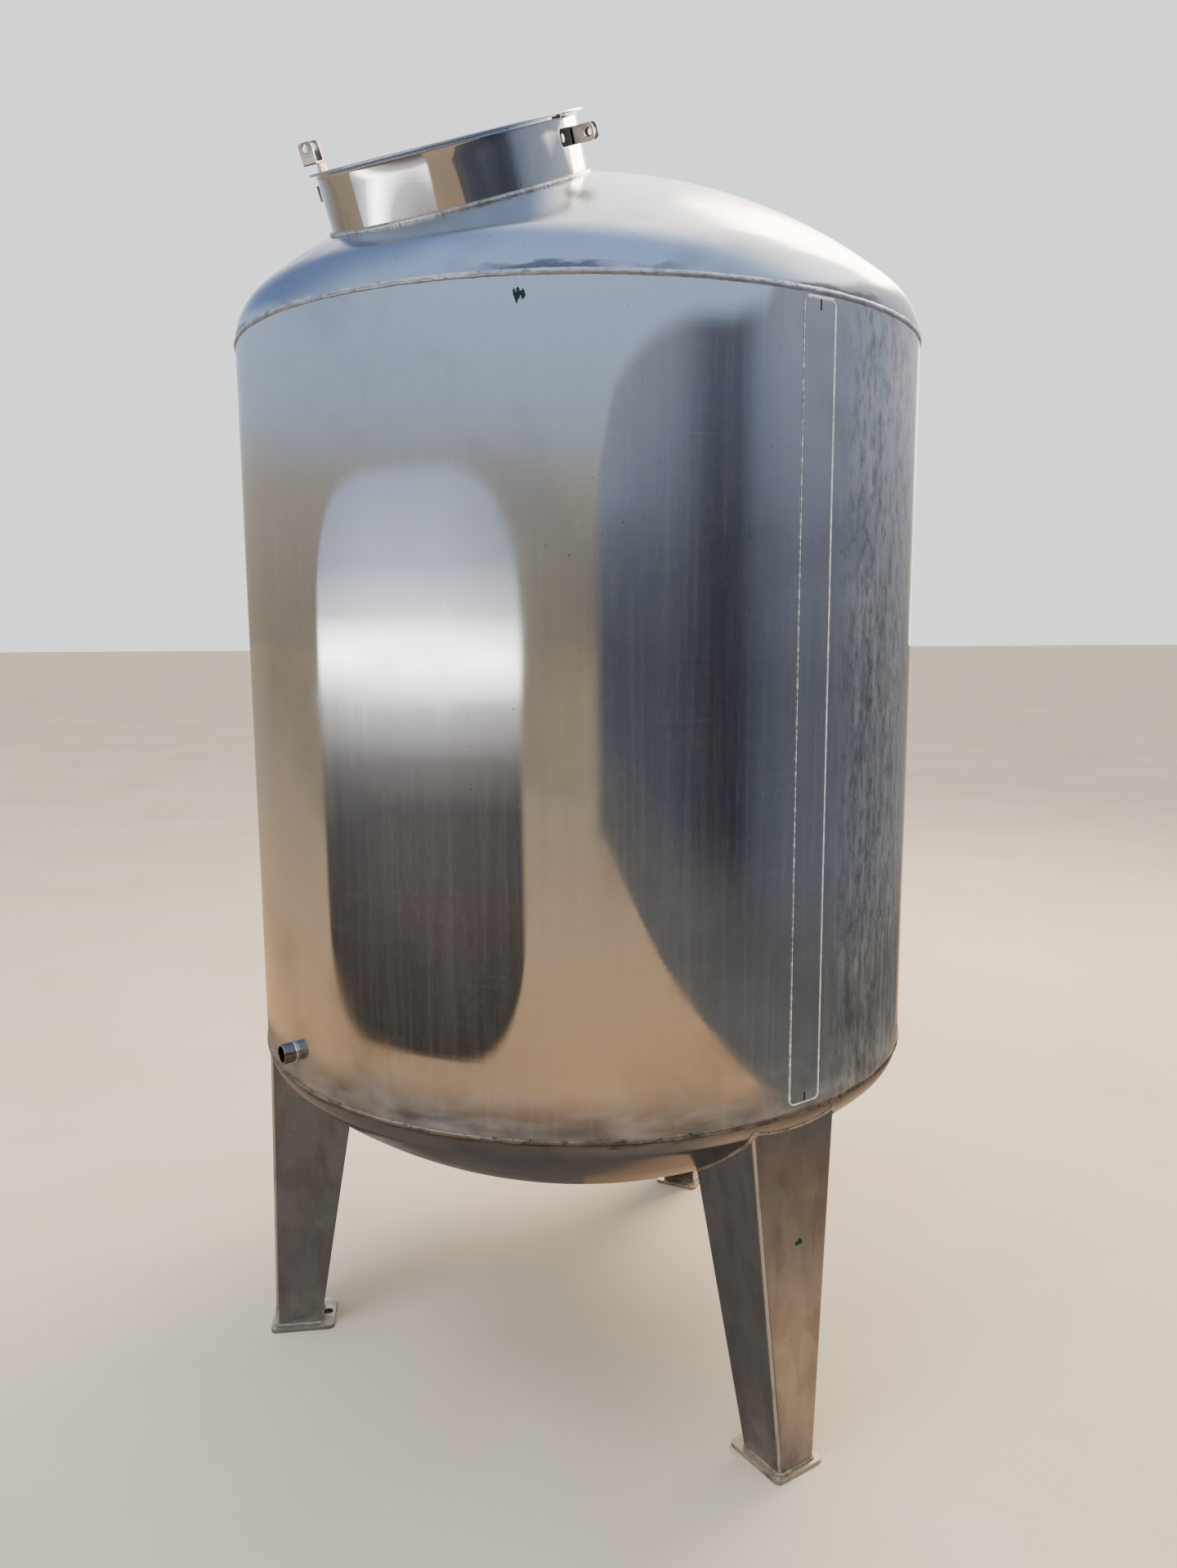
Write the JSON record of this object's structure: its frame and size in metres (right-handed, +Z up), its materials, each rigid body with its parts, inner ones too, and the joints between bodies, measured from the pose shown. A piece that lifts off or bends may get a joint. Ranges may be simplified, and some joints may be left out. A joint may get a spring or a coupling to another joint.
{
  "type": "vertical storage tank",
  "caption": "Upright round stainless storage tank with dished ends, an open slanted manway neck with hinge and clamp clips, a low drain pipe and folded plate legs on foot plates.",
  "frame": {"origin": "on the tank's axis at floor level", "axes": "+Z up the tank, -Y towards the side that the picture shows, +X to its right"},
  "size_m": [1.2253, 1.206, 2.178],
  "materials": {
    "mirror_stainless": "mirror-polished stainless steel with faint level polishing lines",
    "satin_stainless": "cold-rolled satin stainless steel",
    "bracket_stainless": "cut and drilled stainless plate, dull",
    "mill_stainless": "dull hot-rolled and pickled stainless plate, folded",
    "weld_bead": "rough weld bead as laid, with dark residue along its edges"
  },
  "bodies": {
    "root": {"shell_wall": "mirror_stainless", "top_head": "satin_stainless", "bottom_head": "satin_stainless", "top_seam_weld": "weld_bead", "bottom_seam_weld": "weld_bead", "manway_neck": "mirror_stainless", "manway_neck_weld": "weld_bead", "clamp_clip": "bracket_stainless", "hinge_clip": "bracket_stainless", "hinge_bracket": "bracket_stainless", "closure_strip": "mirror_stainless", "closure_strip_weld": "weld_bead", "drain_stub": "mirror_stainless", "drain_base_weld": "weld_bead", "leg_front_right": "mill_stainless", "leg_weld_front_right": "weld_bead", "foot_plate_front_right": "mill_stainless", "foot_weld_front_right": "weld_bead", "leg_rear": "mill_stainless", "leg_weld_rear": "weld_bead", "foot_plate_rear": "mill_stainless", "foot_weld_rear": "weld_bead", "leg_left": "mill_stainless", "leg_weld_left": "weld_bead", "foot_plate_left": "mill_stainless", "foot_weld_left": "weld_bead"}
  },
  "joints": []
}
